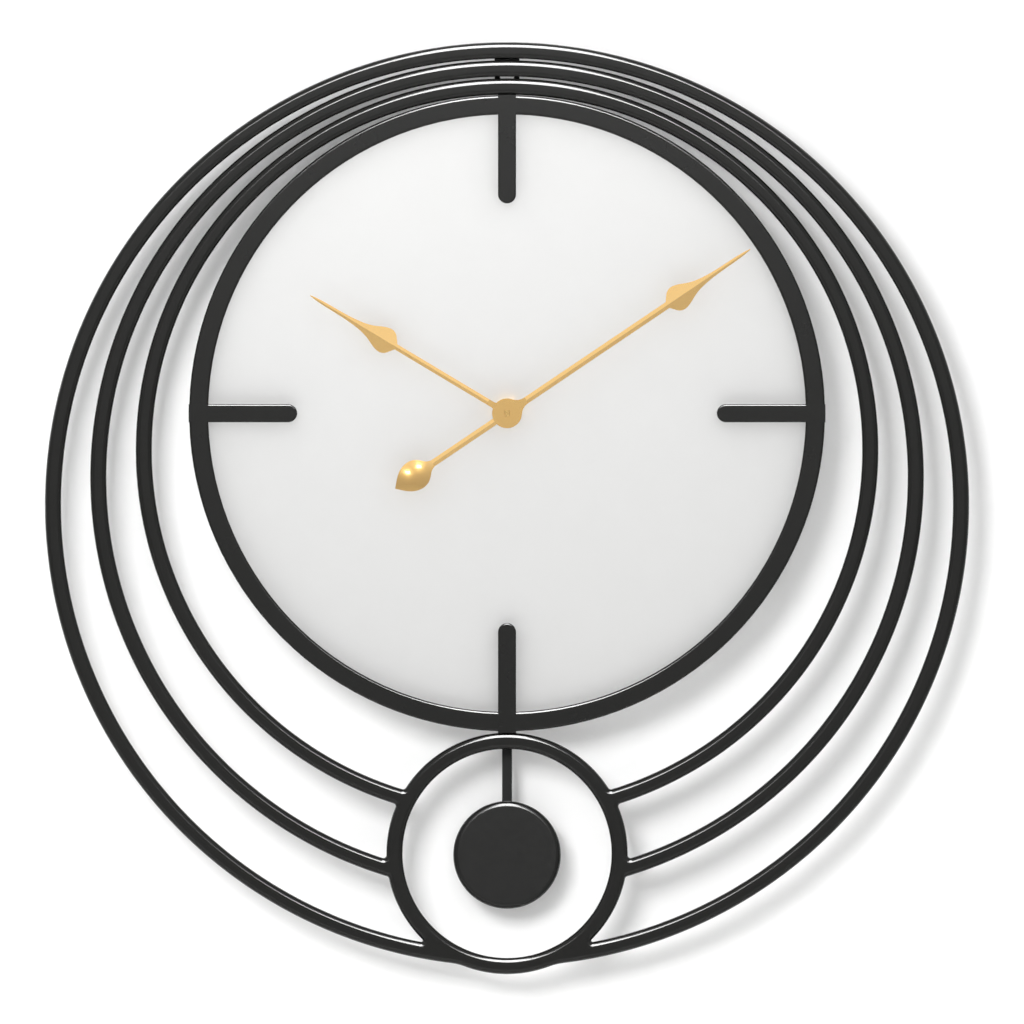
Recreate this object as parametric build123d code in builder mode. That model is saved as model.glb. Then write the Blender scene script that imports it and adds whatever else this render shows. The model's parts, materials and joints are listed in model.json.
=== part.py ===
from build123d import *
import os
from math import cos, radians, sin, sqrt

os.makedirs("parts", exist_ok=True)

# A pendulum wall clock: a frame of nested steel rings round a pale dial, with gold hands, a small
# ring below for the pendulum bob, and a quartz pendulum movement hidden behind the dial.
#
# Frame of reference, in millimetres: +X to the right, +Z up. The wall is the plane Y = 0 and the
# clock stands out from it towards -Y, where the viewer is. The origin is the point of the wall
# straight behind the top of the hanging slot, where the nail bears. A depth is a distance in front
# of the wall, and a height is measured up from the centre of the dial.

# ---- Driving dimensions ----

NAIL_HEIGHT = 189.0  # the top of the hanging slot, above the dial's centre

# The welded frame: three open rings that all end on the ring round the pendulum.
FRAME_BACK = 20.5
FRAME_FRONT = 28.5
BAND = 8.8
OUTER_RING_R = 250.0
OUTER_RING_HEIGHT = -49.3
MIDDLE_RING_R = 225.5
MIDDLE_RING_HEIGHT = -34.5
INNER_RING_R = 200.9
INNER_RING_HEIGHT = -19.8
PENDULUM_RING_R = 65.3
PENDULUM_RING_HEIGHT = -238.1
FRAME_EDGE_R = 2.8
BACK_EDGE = 0.5
WELD_R = 1.6
TIGHT_WELD_R = 0.8
BOTTOM_BLEND_R = 30.0

# The dial: a flat plate behind a ring, with four hour bars let into the ring.
DIAL_RING_R = 172.0
DIAL_RING_BORE_R = 161.6
DIAL_RING_EDGE_R = 1.2
PLATE_R = 169.5
PLATE_BACK = 19.0
PLATE_HOLE_R = 5.1
HOUR_BAR_W = 9.74
HOUR_BAR_START = 113.5
HOUR_BAR_EDGE_R = 0.8
LAP_DEPTH = 24.5
SIDE_BAR_PROUD = 0.25
DIAL_SCREW_PITCH_R = 166.3
DIAL_SCREW_R = 1.45
SCREW_HEAD_T = 1.7
SCREW_RECESS_R = 1.1

# What holds the clock on the wall.
HANGER_W = 13.5
HANGER_T = 2.0
HANGER_CROWN = 12.5
FOOT_BOTTOM = 172.8
CROWN_BOTTOM = 181.0
CROWN_TOP = 192.4
FOOT_TOP = 199.4
JOGGLE_RUN = 3.5
JOGGLE_SHIFT = 1.0
SLOT_W = 8.65
SLOT_BOTTOM = 179.6
SPACER_R = 4.0
PAD_T = 1.5
SPACER_PITCH_R = 152.0
SPACER_ANGLES = (30, 150, 210, 330)

# The hands.
MINUTE_ANGLE = 56.0
HOUR_ANGLE = 300.9
HAND_T = 0.8
HAND_SLOPE = 0.16
HOUR_HAND_FACE = 31.5
MINUTE_HAND_FACE = 34.3
MINUTE_HEAD_START = 104.7
HOUR_HEAD_START = 70.0
MINUTE_STEM_W = 3.8
HOUR_STEM_W = 3.2
HEAD_LENGTH = 54.1
TIP_HALF_W = 0.22
HUB_R = 8.1
HOUR_HUB_R = 7.4
NECK_LENGTH = 4.6
TAIL_END = 73.0
LEAF_LENGTH = 24.5
LEAF_W = 16.3
LEAF_BULGE = 1.2
COLLAR_LENGTH = 2.0
COLLAR_WALL = 1.1

# The movement's case, and the arbors inside it.
CASE_BACK = 2.0
CASE_FRONT = 18.0
WALL = 1.2
CASE_W = 56.0
CASE_TOP = 28.0
CASE_BOTTOM = -84.0
CASE_CORNER_R = 4.0
TRAIN_FLOOR = -18.0
PENDULUM_ROOF = -37.0
BRIDGE_BACK = 9.8
BRIDGE_FRONT = 11.0
BUSHING_R = 4.9
BUSHING_END = 26.0
WASHER_R = 9.0
NUT_WASHER_T = 0.6
NUT_ACROSS_FLATS = 13.0
NUT_T = 3.0
POST_R = 1.8
POST_X = 24.3
POST_HEIGHTS = (24.3, -15.5)
PIVOT_R = 0.6
FINE_PIVOT_R = 0.5
ARBOR_R = 1.0
CENTRE_ARBOR_END = 24.0
KNOB_BACK = 0.4
KNOB_FACE = 1.8
KNOB_R = 5.2
STATOR_BACK = 7.9
STATOR_FRONT = 8.9
STATOR_LEFT = -25.3
STATOR_RIGHT = -10.8
LEG_W = 2.8
CORE_T = 0.8
COIL_HEIGHT = 16.8
COIL_R = 3.4
COIL_BORE_R = 1.9
COIL_LENGTH = 8.4
FLANGE_T = 0.8
BOARD_BACK = 4.6
ROTOR_MAGNET_R = 3.0
ROTOR_MAGNET_BACK = 7.7
ROTOR_MAGNET_FRONT = 9.1
PIPE_R = 2.9
SHAFT_R = 1.85
SHAFT_END = 35.0
FLATS_START = 32.2
SHAFT_FLAT = 1.0
SHAFT_HOLE_FLAT = 1.4
RUNNING_GAP = 0.06
PIVOT_END = 2.7

# The gears. A profile is the heights above and below the pitch circle in modules, then the half
# thickness at the foot, the pitch circle and the tip in shares of the tooth pitch.
WHEEL_TEETH = (0.85, 1.2, 0.30, 0.21, 0.10)
PINION_TEETH = (0.70, 1.25, 0.20, 0.20, 0.10)
MOTION_CENTRES = 10.0
TRAIN_CENTRES = 10.2
ROTOR_CENTRES = 6.25
CANNON_MODULE = MOTION_CENTRES / 24
HOUR_MODULE = 0.4
CENTRE_MODULE = 0.3
THIRD_MODULE = TRAIN_CENTRES / 36
ROTOR_MODULE = 0.25
SECOND_LAYER = (4.4, 5.2)
THIRD_LAYER = (6.2, 7.0)
CENTRE_LAYER = (8.0, 9.0)
MINUTE_LAYER = (12.4, 13.6)
HOUR_LAYER = (14.8, 16.0)
MINUTE_WHEEL_ANGLE = -60.0
SET_PINION_ANGLE = 0.0
THIRD_WHEEL_ANGLE = 60.0
MIDDLE_WHEEL_ANGLE = 200.0
ROTOR_ANGLE = 160.0

# The pendulum.
PIVOT_HEIGHT = -42.0
PIVOT_PIN_R = 0.8
LEADER_BACK = 8.6
LEADER_FRONT = 12.0
MAGNET_HEIGHT = -70.0
MAGNET_R = 3.5
DRIVE_COIL_R = 6.4
DRIVE_CORE_R = 1.6
DRIVE_COIL_FRONT = 7.8
HOOK_HEIGHT = -88.0
HOOK_R = 1.2
ROD_W = 5.35
ROD_BACK = 12.2
ROD_FRONT = 13.4
ROD_END = -256.0
BOB_HEIGHT = -238.9
BOB_R = 29.1
BOB_BACK = 10.5
BOB_FRONT = 19.5
BOB_WALL = 1.3
BOB_EDGE_R = 2.8
BOB_SCREW_X = 14.0
BOB_SCREW_R = 1.1
CLAMP_W = 4.0

BATTERY_HEIGHT = -27.5
BATTERY_DEPTH = 9.6
BATTERY_R = 7.1
CELL_LEFT = -24.6
CELL_RIGHT = 24.0
CELL_NUB = 1.0

# ---- Sizes that follow from these ----

FRAME_DEPTH = FRAME_FRONT - FRAME_BACK
HANGER_FOOT = FRAME_BACK - HANGER_T
HANGER_CROWN_FRONT = HANGER_CROWN + HANGER_T
CASE_MIDDLE = (CASE_TOP + CASE_BOTTOM) / 2
TRAY_BACK = CASE_BACK + WALL
TRAY_FRONT = CASE_FRONT - WALL
DOME_R = (LEAF_LENGTH**2 / 4 + LEAF_BULGE**2) / (2 * LEAF_BULGE)


# ---- Helpers ----


def front(depth, height=0, x=0):
    """A sketch plane that faces the viewer: local x is +X and local y is +Z."""
    return Plane(origin=(x, -depth, height - NAIL_HEIGHT), x_dir=(1, 0, 0), z_dir=(0, -1, 0))


def finish(piece, name):
    """Label a finished piece and write it as one STEP file."""
    piece.part.label = name
    export_step(piece.part, f"parts/{name}.step")


def away(distance, angle):
    """The point at a distance from a centre, with the angle counted anticlockwise from +X."""
    return distance * cos(radians(angle)), distance * sin(radians(angle))


def disc(start, end, radius, x=0, height=0, mode=Mode.ADD):
    """A round bar, disc or hole along the depth, in the part being built."""
    with BuildSketch(front(start)) as outline:
        with Locations((x, height)):
            Circle(radius)
    extrude(outline.sketch, amount=end - start, mode=mode)


def block(start, end, left, right, bottom, top, mode=Mode.ADD):
    """A rectangular block or cut between two depths, in the part being built."""
    with BuildSketch(front(start)) as outline:
        with Locations(((left + right) / 2, (bottom + top) / 2)):
            Rectangle(right - left, top - bottom)
    extrude(outline.sketch, amount=end - start, mode=mode)


def gear(start, end, teeth, module, shape, toward, centre=(0, 0)):
    """A straight-toothed gear with a tooth centred on the direction toward, in degrees."""
    above, below, foot, middle, tip = shape
    flank = [(-foot, -below), (-middle, 0), (-tip, above), (tip, above), (middle, 0), (foot, -below)]
    corners = []
    for tooth in range(teeth):
        for share, rise in flank:
            angle = toward + (tooth + share) * 360 / teeth
            x, y = away(teeth * module / 2 + rise * module, angle)
            corners.append((centre[0] + x, centre[1] + y))
    with BuildSketch(front(start)) as outline:
        with BuildLine():
            Polyline(*corners, close=True)
        make_face()
    extrude(outline.sketch, amount=end - start)


def pinion(start, end, teeth, module, facing, centre=(0, 0)):
    """A pinion with the gap between two teeth centred on the direction facing."""
    gear(start, end, teeth, module, PINION_TEETH, facing + 180 / teeth, centre)


# ---- The welded frame ----


def corner_of(radius, height):
    """Where a circle centred on the dial's upright meets the pendulum ring, on the +X side."""
    apart = height - PENDULUM_RING_HEIGHT
    down = (apart**2 + radius**2 - PENDULUM_RING_R**2) / (2 * apart)
    return sqrt(radius**2 - down**2), height - down


RINGS = (
    (OUTER_RING_R, OUTER_RING_HEIGHT, BOTTOM_BLEND_R, TIGHT_WELD_R),
    (MIDDLE_RING_R, MIDDLE_RING_HEIGHT, WELD_R, WELD_R),
    (INNER_RING_R, INNER_RING_HEIGHT, WELD_R, WELD_R),
)

# All the bars are blended into one outline first, because the welds are ground smooth, and then
# the pieces are parted along the pendulum ring's outer wall.
with BuildPart() as welded_frame:
    with BuildSketch(front(FRAME_BACK)) as frame_outline:
        for ring_r, ring_height, _, _ in RINGS:
            with Locations((0, ring_height)):
                Circle(ring_r)
                Circle(ring_r - BAND, mode=Mode.SUBTRACT)
        with Locations((0, PENDULUM_RING_HEIGHT)):
            Circle(PENDULUM_RING_R)
            Circle(PENDULUM_RING_R - BAND, mode=Mode.SUBTRACT)
    extrude(amount=FRAME_DEPTH)
    for ring_r, ring_height, outer_blend, inner_blend in RINGS:
        for edge_r, blend in ((ring_r, outer_blend), (ring_r - BAND, inner_blend)):
            x, y = corner_of(edge_r, ring_height)
            for side in (-x, x):
                upright = welded_frame.edges().filter_by(Axis.Y)
                middle = front((FRAME_BACK + FRAME_FRONT) / 2, y, side).origin
                fillet(upright.sort_by_distance(middle)[0], blend)
    fillet(welded_frame.edges().group_by(Axis.Y)[0], FRAME_EDGE_R)
    fillet(welded_frame.edges().group_by(Axis.Y)[-1], BACK_EDGE)

with BuildPart() as pendulum_ring:
    add(welded_frame.part)
    with BuildSketch(front(FRAME_BACK - 1, PENDULUM_RING_HEIGHT)):
        Circle(PENDULUM_RING_R)
    extrude(amount=FRAME_DEPTH + 2, mode=Mode.INTERSECT)
finish(pendulum_ring, "pendulum_ring")

with BuildPart() as open_rings:
    add(welded_frame.part)
    with BuildSketch(front(FRAME_BACK - 1, PENDULUM_RING_HEIGHT)):
        Circle(PENDULUM_RING_R)
    extrude(amount=FRAME_DEPTH + 2, mode=Mode.SUBTRACT)

by_size = open_rings.solids().sort_by(SortBy.VOLUME)
for ring_name, bar in zip(("inner_ring", "middle_ring", "outer_ring"), by_size):
    with BuildPart() as open_ring:
        add(bar)
    finish(open_ring, ring_name)


# ---- The dial ring, its hour bars and the dial plate ----


def hour_bar(angle, end_r, end_height, proud=0):
    """A bar let into the dial ring, which ends on the circle of end_r centred at end_height."""
    across = away(1, 90 - angle)
    along = Plane(origin=front(FRAME_BACK).origin, x_dir=(across[0], 0, across[1]), z_dir=(0, -1, 0))
    thickness = FRAME_DEPTH + proud
    half = HOUR_BAR_W / 2
    with BuildPart() as bar:
        with BuildSketch(along):
            with Locations((HOUR_BAR_START + half, 0)):
                Circle(half)
                Rectangle(DIAL_RING_R - HOUR_BAR_START, HOUR_BAR_W, align=(Align.MIN, Align.CENTER))
        extrude(amount=thickness)
        face_edges = bar.edges().group_by(Axis.Y)[0]
        fillet(face_edges.sort_by_distance(along.origin)[:3], HOUR_BAR_EDGE_R)
        with BuildSketch(along):
            Circle(DIAL_RING_BORE_R)
        extrude(amount=thickness, mode=Mode.INTERSECT)
        with BuildSketch(along.offset(LAP_DEPTH - FRAME_BACK)):
            with Locations((DIAL_RING_BORE_R - 1, 0)):
                Rectangle(DIAL_RING_R - DIAL_RING_BORE_R + 4, HOUR_BAR_W, align=(Align.MIN, Align.CENTER))
            Circle(DIAL_RING_BORE_R, mode=Mode.SUBTRACT)
        extrude(amount=FRAME_FRONT + proud - LAP_DEPTH)
        with BuildSketch(front(FRAME_BACK)):
            with Locations((0, end_height)):
                Circle(end_r)
        extrude(amount=thickness, mode=Mode.INTERSECT)
    return bar


finish(hour_bar(0, INNER_RING_R - BAND, INNER_RING_HEIGHT), "hour_bar_twelve")
for bar_name, angle in (("hour_bar_three", 90), ("hour_bar_nine", 270)):
    side_bar = hour_bar(angle, DIAL_RING_R + SIDE_BAR_PROUD, 0, SIDE_BAR_PROUD)
    finish(side_bar, bar_name)

# The lowest bar reaches down to the pendulum ring, so its end is coped to the outside of that ring.
with BuildPart() as hour_bar_six:
    add(hour_bar(180, DIAL_RING_R + 2, 0).part)
    disc(FRAME_BACK, FRAME_FRONT, PENDULUM_RING_R, height=PENDULUM_RING_HEIGHT, mode=Mode.SUBTRACT)
finish(hour_bar_six, "hour_bar_six")

with BuildPart() as dial_ring:
    with BuildSketch(front(FRAME_BACK)):
        Circle(DIAL_RING_R)
        Circle(DIAL_RING_BORE_R, mode=Mode.SUBTRACT)
    extrude(amount=FRAME_DEPTH)
    fillet(dial_ring.edges().group_by(Axis.Y)[0], DIAL_RING_EDGE_R)
    chamfer(dial_ring.edges().group_by(Axis.Y)[-1], BACK_EDGE)
    with BuildSketch(front(LAP_DEPTH)):
        Rectangle(2 * DIAL_RING_R + 2, HOUR_BAR_W)
        Rectangle(HOUR_BAR_W, 2 * DIAL_RING_R + 2)
    extrude(amount=FRAME_DEPTH, mode=Mode.SUBTRACT)
    with BuildSketch(front(FRAME_BACK)):
        with PolarLocations(DIAL_SCREW_PITCH_R, 4, start_angle=45):
            Circle(DIAL_SCREW_R)
    extrude(amount=4.4, mode=Mode.SUBTRACT)
finish(dial_ring, "dial_ring")

with BuildPart() as dial_plate:
    with BuildSketch(front(PLATE_BACK)):
        Circle(PLATE_R)
        Circle(PLATE_HOLE_R, mode=Mode.SUBTRACT)
        with PolarLocations(DIAL_SCREW_PITCH_R, 4, start_angle=45):
            Circle(DIAL_SCREW_R + 0.15, mode=Mode.SUBTRACT)
    extrude(amount=FRAME_BACK - PLATE_BACK)
finish(dial_plate, "dial_plate")

with BuildPart() as dial_screws:
    with BuildSketch(front(PLATE_BACK - SCREW_HEAD_T)):
        with PolarLocations(DIAL_SCREW_PITCH_R, 4, start_angle=45):
            Circle(2 * DIAL_SCREW_R)
    extrude(amount=SCREW_HEAD_T)
    chamfer(dial_screws.edges().group_by(Axis.Y)[-1], 0.5)
    with BuildSketch(front(PLATE_BACK)):
        with PolarLocations(DIAL_SCREW_PITCH_R, 4, start_angle=45):
            Circle(DIAL_SCREW_R)
    extrude(amount=5)
    with BuildSketch(front(PLATE_BACK - SCREW_HEAD_T)):
        with PolarLocations(DIAL_SCREW_PITCH_R, 4, start_angle=45):
            Rectangle(2 * SCREW_RECESS_R, 0.6)
            Rectangle(0.6, 2 * SCREW_RECESS_R)
    extrude(amount=1.1, mode=Mode.SUBTRACT)
finish(dial_screws, "dial_screws")


# ---- What holds the clock on the wall ----

# A flat steel strip, stepped towards the wall between its two welded feet, so that the head of the
# nail has room in front of the slot.
with BuildPart() as hanging_plate:
    with BuildSketch(Plane.YZ.offset(-HANGER_W / 2)):
        with BuildLine():
            Polyline(
                (-FRAME_BACK, FOOT_BOTTOM - NAIL_HEIGHT),
                (-FRAME_BACK, CROWN_BOTTOM - JOGGLE_RUN + JOGGLE_SHIFT - NAIL_HEIGHT),
                (-HANGER_CROWN_FRONT, CROWN_BOTTOM + JOGGLE_SHIFT - NAIL_HEIGHT),
                (-HANGER_CROWN_FRONT, CROWN_TOP - JOGGLE_SHIFT - NAIL_HEIGHT),
                (-FRAME_BACK, CROWN_TOP + JOGGLE_RUN - JOGGLE_SHIFT - NAIL_HEIGHT),
                (-FRAME_BACK, FOOT_TOP - NAIL_HEIGHT),
                (-HANGER_FOOT, FOOT_TOP - NAIL_HEIGHT),
                (-HANGER_FOOT, CROWN_TOP + JOGGLE_RUN - NAIL_HEIGHT),
                (-HANGER_CROWN, CROWN_TOP - NAIL_HEIGHT),
                (-HANGER_CROWN, CROWN_BOTTOM - NAIL_HEIGHT),
                (-HANGER_FOOT, CROWN_BOTTOM - JOGGLE_RUN - NAIL_HEIGHT),
                (-HANGER_FOOT, FOOT_BOTTOM - NAIL_HEIGHT),
                close=True,
            )
        make_face()
    extrude(amount=HANGER_W)
    with BuildSketch(front(0)):
        with Locations((0, (NAIL_HEIGHT + SLOT_BOTTOM) / 2)):
            RectangleRounded(SLOT_W, NAIL_HEIGHT - SLOT_BOTTOM, SLOT_W / 2 - 0.1)
    extrude(amount=FRAME_BACK, mode=Mode.SUBTRACT)
finish(hanging_plate, "hanging_plate")

# The pegs that keep the clock parallel to the wall are riveted to the back of the dial plate.
with BuildPart() as wall_spacers:
    with BuildSketch(front(PAD_T)):
        for angle in SPACER_ANGLES:
            with Locations(away(SPACER_PITCH_R, angle)):
                Circle(SPACER_R)
    extrude(amount=PLATE_BACK - PAD_T)
    with BuildSketch(front(PLATE_BACK - 1)):
        for angle in SPACER_ANGLES:
            with Locations(away(SPACER_PITCH_R, angle)):
                Circle(1.8 * SPACER_R)
    extrude(amount=1)
finish(wall_spacers, "wall_spacers")

with BuildPart() as wall_pads:
    with BuildSketch(front(0)):
        for angle in SPACER_ANGLES:
            with Locations(away(SPACER_PITCH_R, angle)):
                Circle(SPACER_R)
    extrude(amount=PAD_T)
    fillet(wall_pads.edges().group_by(Axis.Y)[-1], 0.5)
finish(wall_pads, "wall_pads")


# ---- The hands ----


def hand_plane(face, angle):
    """A sketch plane on the back of a flat hub, with local x along the hand."""
    x, z = away(1, 90 - angle)
    return Plane(origin=front(face - HAND_T).origin, x_dir=(x, 0, z), z_dir=(0, -1, 0))


def hand_arm(plane, stem_w, head_start, tail_end=0):
    """The folded arm of a hand: a stem and an arrow head with a ridge along the middle."""
    half = stem_w / 2
    with BuildPart() as arm:
        with BuildSketch(plane.offset(-4)):
            with BuildLine():
                side = Line((-tail_end, half), (head_start, half))
                shoulder = Line(side @ 1, (head_start + 2.8, 5.3))
                Spline(
                    shoulder @ 1,
                    (head_start + 6.4, 7.05),
                    (head_start + 11.5, 5.9),
                    (head_start + 16.4, 3.7),
                    (head_start + 22.6, 2.15),
                    (head_start + 34.0, 1.2),
                    (head_start + HEAD_LENGTH, TIP_HALF_W),
                )
                Line((head_start + HEAD_LENGTH, TIP_HALF_W), (head_start + HEAD_LENGTH, 0))
                mirror(about=Plane.XZ)
                Line((-tail_end, -half), (-tail_end, half))
            make_face()
        extrude(amount=8)
        reach = 9.0
        drop = reach * HAND_SLOPE
        across = Plane(origin=plane.origin, x_dir=plane.y_dir, z_dir=plane.x_dir)
        with BuildSketch(across):
            with BuildLine():
                Polyline(
                    (-reach, -drop), (0, 0), (reach, -drop),
                    (reach, HAND_T - drop), (0, HAND_T), (-reach, HAND_T - drop),
                    close=True,
                )
            make_face()
        extrude(amount=250, both=True, mode=Mode.INTERSECT)
    return arm


def add_neck(radius, stem_w, spread):
    """The flare where a stem leaves a round hub, on the current sketch, along local +x.

    Its root lies on the hub's edge, at the angle spread on each side of the stem.
    """
    half = stem_w / 2
    x, y = away(radius, spread)
    end_x = radius + NECK_LENGTH
    slope_x, slope_y = away(1, 90 - spread)
    with BuildLine() as flare:
        upper = Spline((x, y), (end_x, half), tangents=[(slope_x, -slope_y), (1, 0)])
        lower = Spline((x, -y), (end_x, -half), tangents=[(slope_x, slope_y), (1, 0)])
        Line(upper @ 0, lower @ 0)
        Line(upper @ 1, lower @ 1)
    make_face(flare.line)


hour_plane = hand_plane(HOUR_HAND_FACE, HOUR_ANGLE)
with BuildPart() as hour_hand:
    add(hand_arm(hour_plane, HOUR_STEM_W, HOUR_HEAD_START).part)
    with BuildSketch(hour_plane):
        Circle(HOUR_HUB_R)
        add_neck(HOUR_HUB_R, HOUR_STEM_W, 22)
    extrude(amount=HAND_T)
    disc(HOUR_HAND_FACE - HAND_T - COLLAR_LENGTH, HOUR_HAND_FACE, PIPE_R + COLLAR_WALL)
    disc(HOUR_HAND_FACE - 5, HOUR_HAND_FACE + 1, PIPE_R, mode=Mode.SUBTRACT)
finish(hour_hand, "hour_hand")

minute_plane = hand_plane(MINUTE_HAND_FACE, MINUTE_ANGLE)

# The leaf at the end of the tail is domed: its face is a cap of a large sphere.
with BuildPart() as tail_leaf:
    with BuildSketch(minute_plane):
        with BuildLine():
            leaf_side = Spline(
                (-TAIL_END, 0),
                (-TAIL_END + 0.33 * LEAF_LENGTH, 0.43 * LEAF_W),
                (-TAIL_END + 0.53 * LEAF_LENGTH, 0.50 * LEAF_W),
                (-TAIL_END + 0.735 * LEAF_LENGTH, 0.41 * LEAF_W),
                (-TAIL_END + 0.87 * LEAF_LENGTH, 0.22 * LEAF_W),
                (-TAIL_END + LEAF_LENGTH, MINUTE_STEM_W / 2),
                tangents=[(0.68, 0.73), (1, -0.35)],
            )
            mirror(about=Plane.XZ)
            Line(leaf_side @ 1, (-TAIL_END + LEAF_LENGTH, -MINUTE_STEM_W / 2))
        make_face()
    extrude(amount=HAND_T + LEAF_BULGE)
    sink = HAND_T + LEAF_BULGE - DOME_R
    with Locations(minute_plane.from_local_coords((-TAIL_END + LEAF_LENGTH / 2, 0, sink))):
        Sphere(DOME_R, mode=Mode.INTERSECT)

with BuildPart() as minute_hand:
    add(hand_arm(minute_plane, MINUTE_STEM_W, MINUTE_HEAD_START, TAIL_END - LEAF_LENGTH + 1).part)
    add(tail_leaf.part)
    with BuildSketch(minute_plane):
        Circle(HUB_R)
        add_neck(HUB_R, MINUTE_STEM_W, 38)
    extrude(amount=HAND_T)
    with BuildSketch(front(MINUTE_HAND_FACE - 3)):
        Circle(SHAFT_R)
        Rectangle(2 * SHAFT_HOLE_FLAT, 2 * SHAFT_R, mode=Mode.INTERSECT)
    extrude(amount=6, mode=Mode.SUBTRACT)
    disc(MINUTE_HAND_FACE - 3, MINUTE_HAND_FACE - HAND_T, SHAFT_R, mode=Mode.SUBTRACT)
finish(minute_hand, "minute_hand")


# ---- The movement's case ----

minute_wheel_at = away(MOTION_CENTRES, MINUTE_WHEEL_ANGLE)
set_arbor_at = (minute_wheel_at[0] + MOTION_CENTRES, minute_wheel_at[1])
third_wheel_at = away(TRAIN_CENTRES, THIRD_WHEEL_ANGLE)
middle_wheel_at = away(TRAIN_CENTRES, MIDDLE_WHEEL_ANGLE)
rotor_shift = away(ROTOR_CENTRES, ROTOR_ANGLE)
rotor_at = (middle_wheel_at[0] + rotor_shift[0], middle_wheel_at[1] + rotor_shift[1])

with BuildPart() as movement_case:
    with BuildSketch(front(TRAY_BACK, CASE_MIDDLE)):
        RectangleRounded(CASE_W, CASE_TOP - CASE_BOTTOM, CASE_CORNER_R)
    extrude(amount=CASE_FRONT - TRAY_BACK)
    chamfer(movement_case.edges().group_by(Axis.Y)[0], 0.6)
    with BuildSketch(front(TRAY_BACK, CASE_MIDDLE)):
        RectangleRounded(CASE_W - 2 * WALL, CASE_TOP - CASE_BOTTOM - 2 * WALL, CASE_CORNER_R - WALL)
    extrude(amount=TRAY_FRONT - TRAY_BACK, mode=Mode.SUBTRACT)
    inside = CASE_W / 2 - WALL / 2
    block(TRAY_BACK, TRAY_FRONT, -inside, inside, TRAIN_FLOOR - WALL, TRAIN_FLOOR)
    block(TRAY_BACK, TRAY_FRONT, -inside, inside, PENDULUM_ROOF, PENDULUM_ROOF + WALL)
    block(TRAY_BACK, TRAY_FRONT, -10, 10, CASE_BOTTOM - 1, CASE_BOTTOM + 2 * WALL, Mode.SUBTRACT)
    for height in POST_HEIGHTS:
        for x in (-POST_X, POST_X):
            disc(BRIDGE_FRONT, TRAY_FRONT, POST_R, x, height)
    disc(LEADER_FRONT + 0.4, TRAY_FRONT, 2.0, 0, PIVOT_HEIGHT)
    disc(CASE_FRONT - WALL / 2, BUSHING_END, BUSHING_R)
    disc(TRAY_FRONT - 1, BUSHING_END + 1, PIPE_R + RUNNING_GAP, mode=Mode.SUBTRACT)
    disc(LEADER_FRONT, CASE_FRONT - 0.4, PIVOT_PIN_R, 0, PIVOT_HEIGHT, Mode.SUBTRACT)
    disc(TRAY_FRONT, CASE_FRONT - 0.4, PIVOT_R + RUNNING_GAP, *minute_wheel_at, Mode.SUBTRACT)
finish(movement_case, "movement_case")

with BuildPart() as rear_cover:
    with BuildSketch(front(CASE_BACK, CASE_MIDDLE)):
        RectangleRounded(CASE_W, CASE_TOP - CASE_BOTTOM, CASE_CORNER_R)
    extrude(amount=WALL)
    chamfer(rear_cover.edges().group_by(Axis.Y)[-1], 0.4)
    block(0, TRAY_BACK, -25.6, 25.6, PENDULUM_ROOF + 1.6, TRAIN_FLOOR - 1.6, Mode.SUBTRACT)
    for height in POST_HEIGHTS:
        for x in (-POST_X, POST_X):
            disc(TRAY_BACK, BRIDGE_BACK, POST_R, x, height)
    for x, height in ((-23.3, -5.5), (-23.3, 9.0)):
        disc(TRAY_BACK, STATOR_BACK, PIVOT_R * 2, x, height)
    for x, height in ((19.5, -9.5), (24.3, 18.5)):
        disc(TRAY_BACK, BOARD_BACK, PIVOT_R * 2, x, height)
    disc(TRAY_BACK, LEADER_BACK - 0.4, 2.0, 0, PIVOT_HEIGHT)
    disc(PIVOT_END - 0.1, LEADER_BACK, PIVOT_PIN_R, 0, PIVOT_HEIGHT, Mode.SUBTRACT)
    for centre in (third_wheel_at, middle_wheel_at):
        disc(PIVOT_END - 0.1, TRAY_BACK, PIVOT_R + RUNNING_GAP, *centre, Mode.SUBTRACT)
    for centre in ((0, 0), rotor_at):
        disc(PIVOT_END - 0.1, TRAY_BACK, FINE_PIVOT_R + RUNNING_GAP, *centre, Mode.SUBTRACT)
    disc(0, TRAY_BACK, ARBOR_R + RUNNING_GAP, *set_arbor_at, Mode.SUBTRACT)
finish(rear_cover, "rear_cover")

with BuildPart() as train_bridge:
    block(BRIDGE_BACK, BRIDGE_FRONT, -25.8, 25.8, -17.4, 25.8)
    block(BRIDGE_BACK, BRIDGE_FRONT, -24.6, -11.5, 11.4, 22.0, Mode.SUBTRACT)
    for centre in (third_wheel_at, middle_wheel_at, minute_wheel_at):
        disc(BRIDGE_BACK, BRIDGE_FRONT, PIVOT_R + RUNNING_GAP, *centre, Mode.SUBTRACT)
    disc(BRIDGE_BACK, BRIDGE_FRONT, FINE_PIVOT_R + RUNNING_GAP, *rotor_at, Mode.SUBTRACT)
    for centre in ((0, 0), set_arbor_at):
        disc(BRIDGE_BACK, BRIDGE_FRONT, ARBOR_R + RUNNING_GAP, *centre, Mode.SUBTRACT)
finish(train_bridge, "train_bridge")

with BuildPart() as rubber_washer:
    disc(CASE_FRONT, PLATE_BACK, WASHER_R)
    disc(CASE_FRONT, PLATE_BACK, BUSHING_R, mode=Mode.SUBTRACT)
finish(rubber_washer, "rubber_washer")

with BuildPart() as brass_washer:
    disc(FRAME_BACK, FRAME_BACK + NUT_WASHER_T, WASHER_R - 1.2)
    disc(FRAME_BACK, FRAME_BACK + NUT_WASHER_T, BUSHING_R, mode=Mode.SUBTRACT)
finish(brass_washer, "brass_washer")

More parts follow.
